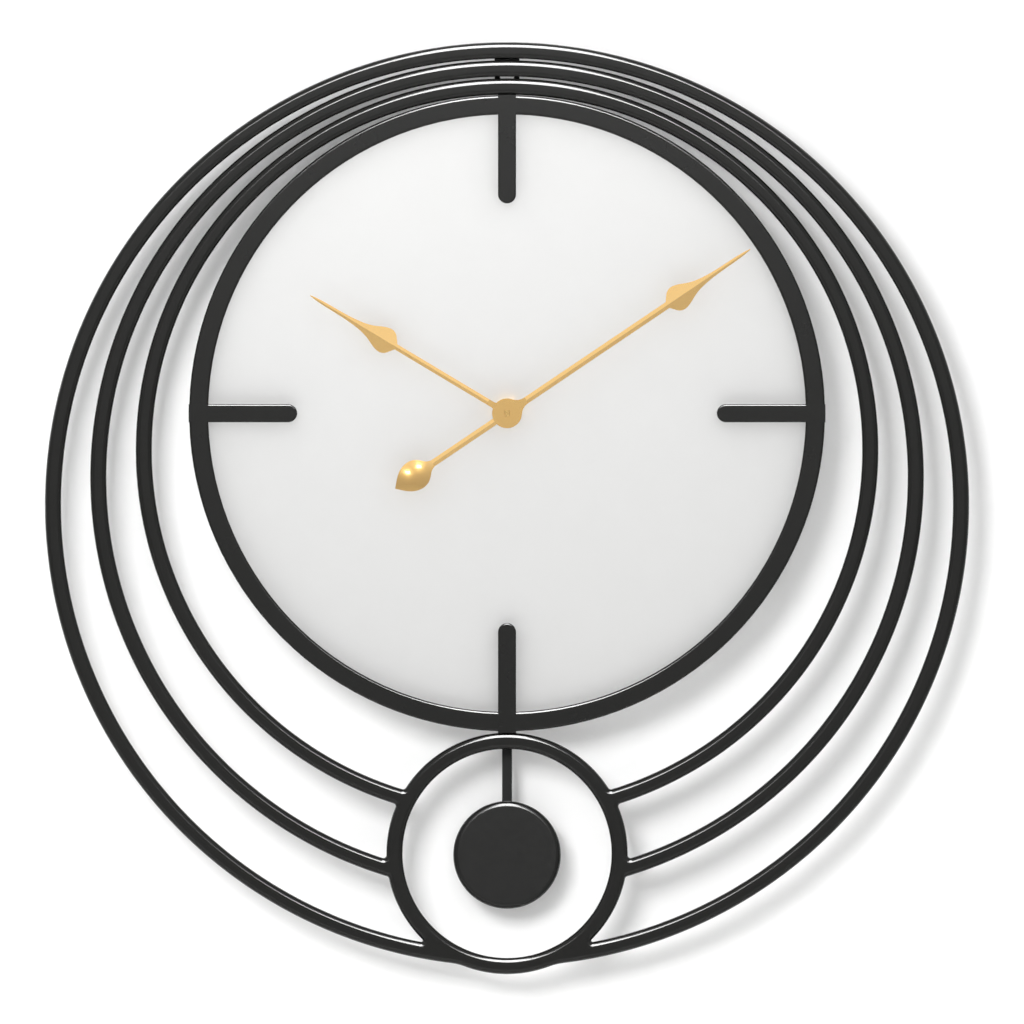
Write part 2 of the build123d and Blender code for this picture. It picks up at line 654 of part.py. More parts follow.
with BuildPart() as fixing_nut:
    with BuildSketch(front(FRAME_BACK + NUT_WASHER_T)):
        RegularPolygon(NUT_ACROSS_FLATS / 2, 6, major_radius=False)
        Circle(BUSHING_R, mode=Mode.SUBTRACT)
    extrude(amount=NUT_T)
    chamfer(fixing_nut.edges().group_by(Axis.Y)[0].filter_by(GeomType.LINE), 0.5)
finish(fixing_nut, "fixing_nut")


# ---- The motion work: what turns the hands ----

with BuildPart() as minute_shaft:
    pinion(MINUTE_LAYER[0] - 0.2, MINUTE_LAYER[1] + 0.2, 12, CANNON_MODULE, MINUTE_WHEEL_ANGLE)
    disc(MINUTE_LAYER[0] - 0.2, FLATS_START, SHAFT_R)
    with BuildSketch(front(FLATS_START)):
        Circle(SHAFT_R)
        Rectangle(2 * SHAFT_FLAT, 2 * SHAFT_R, mode=Mode.INTERSECT)
    extrude(amount=SHAFT_END - FLATS_START)
    chamfer(minute_shaft.edges().group_by(Axis.Y)[0], 0.15)
    disc(0, CENTRE_ARBOR_END + 0.5, ARBOR_R + RUNNING_GAP, mode=Mode.SUBTRACT)
finish(minute_shaft, "minute_shaft")

with BuildPart() as minute_wheel:
    gear(*MINUTE_LAYER, 36, CANNON_MODULE, WHEEL_TEETH, MINUTE_WHEEL_ANGLE + 180, minute_wheel_at)
    pinion(MINUTE_LAYER[1], HOUR_LAYER[1] + 0.2, 10, HOUR_MODULE, MINUTE_WHEEL_ANGLE + 180, minute_wheel_at)
    disc(BRIDGE_BACK, CASE_FRONT - 0.5, PIVOT_R, *minute_wheel_at)
finish(minute_wheel, "minute_wheel")

with BuildPart() as hour_wheel:
    gear(*HOUR_LAYER, 40, HOUR_MODULE, WHEEL_TEETH, MINUTE_WHEEL_ANGLE)
    disc(HOUR_LAYER[0], HOUR_HAND_FACE - 0.3, PIPE_R)
    disc(HOUR_LAYER[0], HOUR_HAND_FACE, SHAFT_R + RUNNING_GAP, mode=Mode.SUBTRACT)
finish(hour_wheel, "hour_wheel")

with BuildPart() as setting_arbor:
    set_facing = SET_PINION_ANGLE + 180
    pinion(MINUTE_LAYER[0] - 0.2, MINUTE_LAYER[1] + 0.2, 12, CANNON_MODULE, set_facing, set_arbor_at)
    disc(KNOB_FACE, MINUTE_LAYER[1] + 0.8, ARBOR_R, *set_arbor_at)
finish(setting_arbor, "setting_arbor")

with BuildPart() as setting_knob:
    with BuildSketch(front(KNOB_BACK)):
        with Locations(set_arbor_at):
            Circle(KNOB_R)
            with PolarLocations(KNOB_R, 18):
                Circle(0.45, mode=Mode.SUBTRACT)
    extrude(amount=KNOB_FACE - KNOB_BACK)
    chamfer(setting_knob.faces().sort_by(Axis.Y)[-1].edges(), 0.2)
finish(setting_knob, "setting_knob")


# ---- The going train ----

with BuildPart() as centre_wheel:
    gear(*CENTRE_LAYER, 60, CENTRE_MODULE, WHEEL_TEETH, THIRD_WHEEL_ANGLE)
    disc(CENTRE_LAYER[0] - 0.4, CENTRE_ARBOR_END, ARBOR_R)
    disc(CENTRE_LAYER[0] - 1, BRIDGE_BACK + 0.4, FINE_PIVOT_R + RUNNING_GAP, mode=Mode.SUBTRACT)
finish(centre_wheel, "centre_wheel")

with BuildPart() as third_wheel:
    gear(*THIRD_LAYER, 64, THIRD_MODULE, WHEEL_TEETH, THIRD_WHEEL_ANGLE + 180, third_wheel_at)
    pinion(THIRD_LAYER[1], CENTRE_LAYER[1] + 0.2, 8, CENTRE_MODULE, THIRD_WHEEL_ANGLE + 180, third_wheel_at)
    disc(PIVOT_END, BRIDGE_FRONT - 0.4, PIVOT_R, *third_wheel_at)
finish(third_wheel, "third_wheel")

with BuildPart() as second_wheel:
    gear(*SECOND_LAYER, 60, CENTRE_MODULE, WHEEL_TEETH, MIDDLE_WHEEL_ANGLE)
    pinion(SECOND_LAYER[1], THIRD_LAYER[1] + 0.2, 8, THIRD_MODULE, THIRD_WHEEL_ANGLE)
    disc(PIVOT_END, BRIDGE_BACK, FINE_PIVOT_R)
finish(second_wheel, "second_wheel")

with BuildPart() as middle_wheel:
    gear(*THIRD_LAYER, 40, ROTOR_MODULE, WHEEL_TEETH, ROTOR_ANGLE, middle_wheel_at)
    pinion(SECOND_LAYER[0] - 0.2, THIRD_LAYER[0], 8, CENTRE_MODULE, MIDDLE_WHEEL_ANGLE + 180, middle_wheel_at)
    disc(PIVOT_END, BRIDGE_FRONT - 0.4, PIVOT_R, *middle_wheel_at)
finish(middle_wheel, "middle_wheel")

with BuildPart() as rotor_pinion:
    pinion(THIRD_LAYER[0] - 0.2, THIRD_LAYER[1] + 0.2, 10, ROTOR_MODULE, ROTOR_ANGLE + 180, rotor_at)
    disc(PIVOT_END, BRIDGE_FRONT - 0.4, FINE_PIVOT_R, *rotor_at)
finish(rotor_pinion, "rotor_pinion")

with BuildPart() as rotor_magnet:
    disc(ROTOR_MAGNET_BACK, ROTOR_MAGNET_FRONT, ROTOR_MAGNET_R, *rotor_at)
    disc(ROTOR_MAGNET_BACK, ROTOR_MAGNET_FRONT, FINE_PIVOT_R, *rotor_at, Mode.SUBTRACT)
finish(rotor_magnet, "rotor_magnet")


# ---- The stepping motor, its circuit and the battery ----

with BuildPart() as stator:
    block(STATOR_BACK, STATOR_FRONT, STATOR_LEFT, STATOR_RIGHT, -7.5, 5.5)
    block(STATOR_BACK, STATOR_FRONT, STATOR_LEFT, STATOR_LEFT + LEG_W, 5, 20)
    block(STATOR_BACK, STATOR_FRONT, STATOR_RIGHT - LEG_W, STATOR_RIGHT, 5, 20)
    disc(STATOR_BACK, STATOR_FRONT, ROTOR_MAGNET_R + 0.6, *rotor_at, Mode.SUBTRACT)
finish(stator, "stator")

coil_core_back = STATOR_FRONT
coil_core_front = STATOR_FRONT + CORE_T
coil_core_span = (COIL_HEIGHT - 1.6, COIL_HEIGHT + 1.6)

with BuildPart() as coil_core:
    block(coil_core_back, coil_core_front, STATOR_LEFT, STATOR_RIGHT, *coil_core_span)
finish(coil_core, "coil_core")

coil_middle = (STATOR_LEFT + STATOR_RIGHT) / 2
coil_depth = STATOR_FRONT + CORE_T / 2

with BuildPart() as motor_bobbin:
    tube = Plane(origin=front(coil_depth, COIL_HEIGHT, coil_middle - COIL_LENGTH / 2).origin,
                 x_dir=(0, 1, 0), z_dir=(1, 0, 0))
    with BuildSketch(tube, tube.offset(COIL_LENGTH - FLANGE_T)):
        Circle(COIL_R + 0.4)
    extrude(amount=FLANGE_T)
    with BuildSketch(tube):
        Circle(COIL_BORE_R)
    extrude(amount=COIL_LENGTH)
    block(coil_core_back, coil_core_front, -30, 0, *coil_core_span, Mode.SUBTRACT)
finish(motor_bobbin, "motor_bobbin")

with BuildPart() as motor_winding:
    with BuildSketch(tube.offset(FLANGE_T)):
        Circle(COIL_R)
        Circle(COIL_BORE_R, mode=Mode.SUBTRACT)
    extrude(amount=COIL_LENGTH - 2 * FLANGE_T)
finish(motor_winding, "motor_winding")

with BuildPart() as circuit_board:
    block(BOARD_BACK, BOARD_BACK + 1, 17.6, 26.4, -12, 21)
finish(circuit_board, "circuit_board")

with BuildPart() as control_chip:
    disc(BOARD_BACK + 1, BOARD_BACK + 2, 2.8, 22, 2)
    fillet(control_chip.edges().group_by(Axis.Y)[0], 0.8)
finish(control_chip, "control_chip")

with BuildPart() as quartz_crystal:
    can = Plane(origin=front(BOARD_BACK + 2, 9, 22).origin, x_dir=(1, 0, 0), z_dir=(0, 0, 1))
    with BuildSketch(can):
        Circle(0.98)
    extrude(amount=6)
    fillet(quartz_crystal.edges().group_by(Axis.Z)[-1], 0.3)
finish(quartz_crystal, "quartz_crystal")

with BuildPart() as battery:
    cell_origin = front(BATTERY_DEPTH, BATTERY_HEIGHT, CELL_LEFT).origin
    cell_end = Plane(origin=cell_origin, x_dir=(0, 1, 0), z_dir=(1, 0, 0))
    with BuildSketch(cell_end):
        Circle(BATTERY_R)
    extrude(amount=CELL_RIGHT - CELL_LEFT)
    fillet(battery.edges().filter_by(GeomType.CIRCLE), 0.6)
    with BuildSketch(cell_end.offset(CELL_RIGHT - CELL_LEFT)):
        Circle(2.7)
    extrude(amount=CELL_NUB)
finish(battery, "battery")

# Each contact is a folded strip that stands against the end wall of the battery bay, with a tongue
# that bows out to the cell.
CONTACTS = (
    ("negative_contact", -1, CELL_LEFT),
    ("positive_contact", 1, CELL_RIGHT + CELL_NUB),
)
for contact_name, side, touch in CONTACTS:
    wall_x = side * (CASE_W / 2 - WALL)
    with BuildPart() as contact:
        with BuildSketch(Plane.XY.offset(BATTERY_HEIGHT - NAIL_HEIGHT - 4)):
            with BuildLine():
                spine = Polyline(
                    (wall_x - side * 0.2, -BATTERY_DEPTH + 6),
                    (wall_x - side * 0.2, -BATTERY_DEPTH - 4),
                    (touch + side * 0.2, -BATTERY_DEPTH),
                    (wall_x - side * 0.7, -BATTERY_DEPTH + 4),
                )
                offset(spine, amount=0.15, side=Side.BOTH)
            make_face()
        extrude(amount=8)
    finish(contact, contact_name)


# ---- The pendulum's drive, and the pendulum ----

with BuildPart() as pivot_pin:
    disc(PIVOT_END - 0.1, CASE_FRONT - 0.4, PIVOT_PIN_R, 0, PIVOT_HEIGHT)
finish(pivot_pin, "pivot_pin")

with BuildPart() as drive_bobbin:
    disc(TRAY_BACK, TRAY_BACK + 0.6, DRIVE_COIL_R + 0.8, 0, MAGNET_HEIGHT)
    disc(TRAY_BACK, DRIVE_COIL_FRONT, DRIVE_CORE_R, 0, MAGNET_HEIGHT)
    disc(DRIVE_COIL_FRONT - 0.6, DRIVE_COIL_FRONT, DRIVE_COIL_R + 0.8, 0, MAGNET_HEIGHT)
finish(drive_bobbin, "drive_bobbin")

with BuildPart() as drive_winding:
    disc(TRAY_BACK + 0.6, DRIVE_COIL_FRONT - 0.6, DRIVE_COIL_R, 0, MAGNET_HEIGHT)
    disc(TRAY_BACK + 0.6, DRIVE_COIL_FRONT - 0.6, DRIVE_CORE_R, 0, MAGNET_HEIGHT, Mode.SUBTRACT)
finish(drive_winding, "drive_winding")

with BuildPart() as pendulum_leader:
    block(LEADER_BACK, LEADER_FRONT, -3, 3, HOOK_HEIGHT, PIVOT_HEIGHT)
    disc(LEADER_BACK, LEADER_FRONT, 3.6, 0, PIVOT_HEIGHT)
    disc(LEADER_BACK, LEADER_FRONT, MAGNET_R + 1.6, 0, MAGNET_HEIGHT)
    disc(LEADER_BACK, LEADER_FRONT, 3.0, 0, HOOK_HEIGHT)
    disc(LEADER_FRONT, ROD_FRONT + 0.9, HOOK_R, 0, HOOK_HEIGHT)
    disc(0, LEADER_FRONT, PIVOT_PIN_R + RUNNING_GAP, 0, PIVOT_HEIGHT, Mode.SUBTRACT)
    disc(0, LEADER_FRONT - 0.8, MAGNET_R, 0, MAGNET_HEIGHT, Mode.SUBTRACT)
finish(pendulum_leader, "pendulum_leader")

with BuildPart() as pendulum_magnet:
    disc(LEADER_BACK - 0.2, LEADER_FRONT - 0.8, MAGNET_R, 0, MAGNET_HEIGHT)
finish(pendulum_magnet, "pendulum_magnet")

with BuildPart() as pendulum_rod:
    block(ROD_BACK, ROD_FRONT, -ROD_W / 2, ROD_W / 2, ROD_END, HOOK_HEIGHT)
    disc(ROD_BACK, ROD_FRONT, ROD_W / 2, 0, HOOK_HEIGHT)
    fillet(pendulum_rod.edges().group_by(Axis.Y)[0], 0.4)
    disc(ROD_BACK, ROD_FRONT, HOOK_R + 0.15, 0, HOOK_HEIGHT, Mode.SUBTRACT)
finish(pendulum_rod, "pendulum_rod")

with BuildPart() as bob_front:
    disc(BOB_BACK, BOB_FRONT, BOB_R, 0, BOB_HEIGHT)
    fillet(bob_front.edges().group_by(Axis.Y)[0], BOB_EDGE_R)
    fillet(bob_front.edges().group_by(Axis.Y)[-1], 0.4)
    disc(0, BOB_FRONT - BOB_WALL, BOB_R - BOB_WALL, 0, BOB_HEIGHT, Mode.SUBTRACT)
    for x in (-BOB_SCREW_X, BOB_SCREW_X):
        disc(BOB_BACK + BOB_WALL, BOB_FRONT - BOB_WALL / 2, 2.6, x, BOB_HEIGHT)
        disc(0, BOB_FRONT - BOB_WALL, BOB_SCREW_R, x, BOB_HEIGHT, Mode.SUBTRACT)
    block(ROD_FRONT, BOB_FRONT - BOB_WALL / 2, -CLAMP_W / 2, CLAMP_W / 2, ROD_END, BOB_HEIGHT + 18)
    block(ROD_BACK, ROD_FRONT, -ROD_W / 2, ROD_W / 2, BOB_HEIGHT, BOB_HEIGHT + BOB_R + 1, Mode.SUBTRACT)
finish(bob_front, "bob_front")

with BuildPart() as bob_back:
    disc(BOB_BACK, BOB_BACK + BOB_WALL, BOB_R - BOB_WALL, 0, BOB_HEIGHT)
    block(BOB_BACK + BOB_WALL, ROD_BACK, -4, 4, ROD_END + 1, BOB_HEIGHT + 18)
    for x in (-BOB_SCREW_X, BOB_SCREW_X):
        disc(0, BOB_BACK + BOB_WALL, BOB_SCREW_R, x, BOB_HEIGHT, Mode.SUBTRACT)
finish(bob_back, "bob_back")

with BuildPart() as bob_screws:
    for x in (-BOB_SCREW_X, BOB_SCREW_X):
        disc(BOB_BACK - 1, BOB_BACK, 2 * BOB_SCREW_R, x, BOB_HEIGHT)
    chamfer(bob_screws.edges().group_by(Axis.Y)[-1], 0.3)
    for x in (-BOB_SCREW_X, BOB_SCREW_X):
        disc(BOB_BACK, BOB_FRONT - BOB_WALL - 0.5, BOB_SCREW_R, x, BOB_HEIGHT)
        slot_span = (BOB_HEIGHT - 0.3, BOB_HEIGHT + 0.3)
        block(BOB_BACK - 1, BOB_BACK - 0.3, x - 1.5, x + 1.5, *slot_span, Mode.SUBTRACT)
finish(bob_screws, "bob_screws")
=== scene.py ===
import json
import math

import bpy
import numpy as np
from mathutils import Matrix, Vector
from mathutils.geometry import delaunay_2d_cdt


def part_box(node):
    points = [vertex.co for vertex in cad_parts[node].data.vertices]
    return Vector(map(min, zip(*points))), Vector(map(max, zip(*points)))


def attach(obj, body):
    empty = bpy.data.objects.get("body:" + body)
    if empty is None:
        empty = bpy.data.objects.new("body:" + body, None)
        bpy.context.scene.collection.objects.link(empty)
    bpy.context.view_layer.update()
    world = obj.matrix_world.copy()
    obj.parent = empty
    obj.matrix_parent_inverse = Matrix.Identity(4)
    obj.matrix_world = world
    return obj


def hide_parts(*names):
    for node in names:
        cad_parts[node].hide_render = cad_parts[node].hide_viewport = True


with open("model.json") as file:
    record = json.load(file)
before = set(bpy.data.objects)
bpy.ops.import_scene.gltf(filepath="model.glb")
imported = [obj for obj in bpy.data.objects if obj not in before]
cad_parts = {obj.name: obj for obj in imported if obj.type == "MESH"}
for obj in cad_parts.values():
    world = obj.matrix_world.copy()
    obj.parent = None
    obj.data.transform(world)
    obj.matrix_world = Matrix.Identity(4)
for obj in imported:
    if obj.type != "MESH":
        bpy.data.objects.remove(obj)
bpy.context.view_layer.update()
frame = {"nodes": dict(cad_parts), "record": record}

# ---- Where things are, from the CAD ----

RING_LOW, RING_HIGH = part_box("outer_ring")
DIAL_LOW, DIAL_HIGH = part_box("dial_ring")
CENTRE = (RING_LOW + RING_HIGH) / 2
DIAL = (DIAL_LOW + DIAL_HIGH) / 2


# ---- Materials ----


def material(name, colour, rough, metallic):
    """A new node material with its Principled shader, and the node tree."""
    mat = bpy.data.materials.new(name)
    mat.use_nodes = True
    tree = mat.node_tree
    shader = tree.nodes["Principled BSDF"]
    shader.inputs["Base Color"].default_value = (*colour, 1)
    shader.inputs["Roughness"].default_value = rough
    shader.inputs["Metallic"].default_value = metallic
    return mat, tree, shader


def noise(tree, scale, detail, stretch):
    """Noise in the object's own coordinates, which are metres; scale is in cycles per metre."""
    where = tree.nodes.new("ShaderNodeTexCoord")
    mapping = tree.nodes.new("ShaderNodeMapping")
    mapping.inputs["Scale"].default_value = stretch
    tex = tree.nodes.new("ShaderNodeTexNoise")
    tex.inputs["Scale"].default_value = scale
    tex.inputs["Detail"].default_value = detail
    tree.links.new(where.outputs["Object"], mapping.inputs["Vector"])
    tree.links.new(mapping.outputs["Vector"], tex.inputs["Vector"])
    return tex.outputs["Fac"]


def ranged(tree, value, low, high, from_low=0.3, from_high=0.7):
    """A value moved from one range to another; noise mostly keeps to 0.3 to 0.7."""
    node = tree.nodes.new("ShaderNodeMapRange")
    node.inputs["From Min"].default_value = from_low
    node.inputs["From Max"].default_value = from_high
    node.inputs["To Min"].default_value = low
    node.inputs["To Max"].default_value = high
    tree.links.new(value, node.inputs["Value"])
    return node.outputs["Result"]


def mixed(tree, fac, first, second):
    """A colour between two, each a colour or an output."""
    node = tree.nodes.new("ShaderNodeMix")
    node.data_type = "RGBA"
    tree.links.new(fac, node.inputs["Factor"])
    a, b = [s for s in node.inputs if s.type == "RGBA"]
    for socket, value in ((a, first), (b, second)):
        if isinstance(value, tuple):
            socket.default_value = (*value, 1)
        else:
            tree.links.new(value, socket)
    return [s for s in node.outputs if s.type == "RGBA"][0]


def bump(tree, shader, height, distance):
    """Bump of a depth in metres."""
    node = tree.nodes.new("ShaderNodeBump")
    node.inputs["Distance"].default_value = distance
    tree.links.new(height, node.inputs["Height"])
    tree.links.new(node.outputs["Normal"], shader.inputs["Normal"])


BEVEL_SAMPLES = 4
EDGE_DOT = 0.85
FLAT_DOT = 0.99


def edge_mask(tree, radius):
    """1 on the sharp edges of a piece and 0 away from them."""
    bevel = tree.nodes.new("ShaderNodeBevel")
    bevel.samples = BEVEL_SAMPLES
    bevel.inputs["Radius"].default_value = radius
    geometry = tree.nodes.new("ShaderNodeNewGeometry")
    dot = tree.nodes.new("ShaderNodeVectorMath")
    dot.operation = "DOT_PRODUCT"
    tree.links.new(bevel.outputs["Normal"], dot.inputs[0])
    tree.links.new(geometry.outputs["Normal"], dot.inputs[1])
    return ranged(tree, dot.outputs["Value"], 1.0, 0.0, EDGE_DOT, FLAT_DOT)


def tinted(colour, factor):
    """A lighter or darker colour."""
    return tuple(min(1.0, c * factor) for c in colour)


CLOUD_SCALE = 60.0
CLOUD_DETAIL = 3.0
GRAIN_DETAIL = 4.0
WEAR_RADIUS = 0.0004


def surface(name, colour, rough, metallic=0.0, grain=900.0, depth=0.00002, variation=0.12, spread=0.06,
            wear=1.25, stretch=(1, 1, 1), specular=0.5):
    """A finish with fine grain, uneven gloss, faint colour variation and rubbed edges.

    Grain is in cycles per metre and depth in metres; variation and wear are shares of the colour, and
    spread is how far the roughness goes either way.
    """
    mat, tree, shader = material(name, colour, rough, metallic)
    shader.inputs["Specular IOR Level"].default_value = specular
    cloud = noise(tree, CLOUD_SCALE, CLOUD_DETAIL, stretch)
    fine = noise(tree, grain, GRAIN_DETAIL, stretch)
    varied = mixed(tree, cloud, tinted(colour, 1 - variation), tinted(colour, 1 + variation))
    worn = mixed(tree, edge_mask(tree, WEAR_RADIUS), varied, tinted(colour, wear))
    tree.links.new(worn, shader.inputs["Base Color"])
    tree.links.new(ranged(tree, fine, rough - spread, rough + spread), shader.inputs["Roughness"])
    bump(tree, shader, fine, depth)
    return mat, tree, shader


FINISHES = {}


def finish(slot, colour, **details):
    """The finish of one of the record's material slots; it returns the shader."""
    mat, _, shader = surface(slot, colour, **details)
    FINISHES[slot] = mat
    return shader


BLACK = (0.0085, 0.0085, 0.0078)
finish("frame_paint", BLACK, rough=0.14, grain=1400, depth=0.0000012, spread=0.02, specular=0.22)
finish("dial_ring_paint", (0.007, 0.007, 0.0063), rough=0.15, grain=1400, depth=0.0000012, spread=0.02,
       specular=0.24)
finish("dial_paint", (0.60, 0.60, 0.597), rough=0.46, grain=700, depth=0.000004, variation=0.012, wear=1.0)
gold = finish("hand_gold", (0.78, 0.468, 0.117), rough=0.18, metallic=1.0, grain=1800, depth=0.0000008,
              spread=0.03, variation=0.03, wear=1.0)
gold.inputs["Coat Weight"].default_value = 1.0
gold.inputs["Coat Roughness"].default_value = 0.1
gold.inputs["Coat IOR"].default_value = 2.0
finish("bob_paint", (0.0075, 0.0075, 0.007), rough=0.2, grain=900, depth=0.0000004, spread=0.02,
       specular=0.22)
finish("bob_back_paint", (0.026, 0.026, 0.024), rough=0.5, grain=1200, depth=0.00001)
finish("dark_steel", (0.09, 0.09, 0.095), rough=0.4, metallic=0.9, grain=2500)
finish("pad_felt", (0.05, 0.05, 0.05), rough=0.9, grain=3500, depth=0.0001)
finish("case_plastic", (0.028, 0.028, 0.030), rough=0.48, grain=3000, depth=0.00002)
finish("wheel_plastic", (0.78, 0.77, 0.71), rough=0.42, grain=1200, depth=0.00001, variation=0.05)
finish("knob_plastic", (0.76, 0.75, 0.69), rough=0.42, grain=1200, depth=0.00001, variation=0.05)
finish("rubber", (0.035, 0.035, 0.035), rough=0.75, grain=1500)
finish("brass", (0.64, 0.42, 0.16), rough=0.27, metallic=1.0, grain=2400, depth=0.000006,
       stretch=(1, 30, 1))
finish("magnet_black", (0.06, 0.06, 0.065), rough=0.45, metallic=0.5, grain=4000)
finish("motor_steel", (0.56, 0.56, 0.57), rough=0.33, metallic=1.0, grain=2400, stretch=(20, 1, 1))
finish("bobbin_plastic", (0.83, 0.82, 0.77), rough=0.45, grain=1200, depth=0.00001, variation=0.04)
finish("copper_wire", (0.66, 0.27, 0.11), rough=0.25, metallic=0.9, grain=900)
finish("board_green", (0.035, 0.19, 0.08), rough=0.35, grain=1800)
finish("chip_black", (0.018, 0.018, 0.018), rough=0.18, grain=900)
finish("crystal_can", (0.72, 0.72, 0.72), rough=0.24, metallic=1.0, grain=1800, stretch=(1, 1, 0.1))
finish("cell_jacket", (0.045, 0.09, 0.125), rough=0.22, grain=1800, depth=0.000001, variation=0.03,
       spread=0.03)
finish("spring_steel", (0.66, 0.65, 0.62), rough=0.25, metallic=1.0, grain=1800)
finish("pin_steel", (0.60, 0.60, 0.61), rough=0.22, metallic=1.0, grain=2400, stretch=(1, 0.05, 1))
finish("leader_plastic", (0.76, 0.75, 0.69), rough=0.45, grain=1200, depth=0.00001, variation=0.05)
finish("rod_steel", (0.006, 0.006, 0.0056), rough=0.2, grain=1400, depth=0.000001, spread=0.02,
       specular=0.2)

# A flat face keeps its own shading where a small fillet runs into it.
FACE_AREA_WEIGHT = 100
for part in frame["record"]["subparts"]:
    node = frame["nodes"][part["node"]]
    even = node.modifiers.new("even_normals", "WEIGHTED_NORMAL")
    even.keep_sharp = True
    even.weight = FACE_AREA_WEIGHT
    for place in node.material_slots:
        place.material = FINISHES[part["material_slot"]]


# ---- The welded frame ----

# The four rings are one welded and ground piece, so they are built as one mesh, finer than the
# CAD's: each of its outlines is a run of arcs, and the rounded edge is swept along it. The bars' width,
# the radii of their rounded edges and the radii of the welds come first, then how fine the mesh is.

BAND = 0.0088
FRONT_EDGE = 0.0028
BACK_EDGE = 0.0005
WELD = 0.0016
TIGHT_WELD = 0.0008
BOTTOM_BLEND = 0.030
LONGEST_STEP = 0.0025
WIDEST_TURN = 0.2
FRONT_STEPS = 9
BACK_STEPS = 3
MERGE_DISTANCE = 1e-9
QUARTER_TURN = math.pi / 2
UP = QUARTER_TURN


def ring_of(node):
    """The outside radius of a ring and the height of its centre."""
    low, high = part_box(node)
    radius = (high.x - low.x) / 2
    return radius, high.z - radius


HUB_R, HUB_Z = ring_of("pendulum_ring")


def arc(x, z, radius, inward, start, end):
    """Points on an arc, each with its direction into the metal: inward is -1 towards the centre."""
    turn = math.remainder(end - start, 2 * math.pi)
    steps = max(math.ceil(abs(turn) * radius / LONGEST_STEP), math.ceil(abs(turn) / WIDEST_TURN))
    points = []
    for step in range(steps):
        angle = start + turn * step / steps
        across, up = math.cos(angle), math.sin(angle)
        points.append((x + radius * across, z + radius * up, inward * across, inward * up))
    return points


def corner(radius, height, weld, outside):
    """A weld's arc between a ring and the pendulum ring, and where it meets each, on the +X side."""
    reach = radius + weld if outside else radius - weld
    apart = height - HUB_Z
    down = (apart**2 + reach**2 - (HUB_R + weld) ** 2) / (2 * apart)
    x, z = math.sqrt(reach**2 - down**2), height - down
    on_ring = math.atan2(-down, x)
    on_hub = math.atan2(z - HUB_Z, x)
    start = on_ring + math.pi if outside else on_ring
    return on_ring, on_hub, arc(x, z, weld, 1, start, on_hub + math.pi)


def corner_back(radius, height, weld):
    """A weld at a ring's outside, walked from the pendulum ring to the ring."""
    on_ring, on_hub, _ = corner(radius, height, weld, True)
    reach = radius + weld
    centre = (reach * math.cos(on_ring), height + reach * math.sin(on_ring))
    return on_ring, on_hub, arc(*centre, weld, 1, on_hub + math.pi, on_ring + math.pi)


def closed(half):
    """A whole outline from its +X half, which starts and ends on the upright line."""
    mirrored = [(-x, z, -across, up) for x, z, across, up in half[-2:0:-1]]
    return np.array(half + mirrored)


def outlines():
    """The frame's outside, the gaps between its rings, the inner ring's bore and the pendulum ring's."""
    rings = [ring_of(node) for node in ("outer_ring", "middle_ring", "inner_ring")]
    radius, height = rings[0]
    on_ring, on_hub, weld = corner(radius, height, BOTTOM_BLEND, True)
    half = arc(0, height, radius, -1, UP, on_ring) + weld + arc(0, HUB_Z, HUB_R, -1, on_hub, -UP)
    found = [closed([*half, (0, HUB_Z - HUB_R, 0, 1)])]
    for (radius, height), inside_weld, (next_radius, next_height) in (
        (rings[0], TIGHT_WELD, rings[1]),
        (rings[1], WELD, rings[2]),
    ):
        bore = radius - BAND
        on_ring, hub_start, weld = corner(bore, height, inside_weld, False)
        on_next, hub_end, next_weld = corner_back(next_radius, next_height, WELD)
        half = arc(0, height, bore, 1, UP, on_ring) + weld + arc(0, HUB_Z, HUB_R, -1, hub_start, hub_end)
        half += next_weld + arc(0, next_height, next_radius, -1, on_next, UP)
        found.append(closed([*half, (0, next_height + next_radius, 0, -1)]))
    radius, height = rings[2]
    bore = radius - BAND
    on_ring, on_hub, weld = corner(bore, height, WELD, False)
    half = arc(0, height, bore, 1, UP, on_ring) + weld + arc(0, HUB_Z, HUB_R, -1, on_hub, UP)
    found.append(closed([*half, (0, HUB_Z + HUB_R, 0, -1)]))
    hub_bore = HUB_R - BAND
    half = arc(0, HUB_Z, hub_bore, 1, UP, 0) + arc(0, HUB_Z, hub_bore, 1, 0, -UP)
    found.append(closed([*half, (0, HUB_Z - hub_bore, 0, -1)]))
    return found


def edge_profile(thickness):
    """The rounded edge from the back, as rows of inset, depth, and the normal's outward and front shares."""
    rows = []
    for step in range(BACK_STEPS + 1):
        turn = QUARTER_TURN * step / BACK_STEPS
        rows.append((BACK_EDGE * (1 - math.sin(turn)), BACK_EDGE * (1 - math.cos(turn)),
                     math.sin(turn), -math.cos(turn)))
    for step in range(FRONT_STEPS + 1):
        turn = QUARTER_TURN * step / FRONT_STEPS
        rows.append((FRONT_EDGE * (1 - math.cos(turn)), thickness - FRONT_EDGE * (1 - math.sin(turn)),
                     math.cos(turn), math.sin(turn)))
    return rows


def inside(points, loops):
    """Which points lie inside an odd number of closed loops."""
    odd = np.zeros(len(points), bool)
    for loop in loops:
        for (ax, az), (bx, bz) in zip(loop, np.roll(loop, -1, axis=0)):
            crosses = (az > points[:, 1]) != (bz > points[:, 1])
            if az != bz:
                odd ^= crosses & (points[:, 0] < ax + (points[:, 1] - az) * (bx - ax) / (bz - az))
    return odd


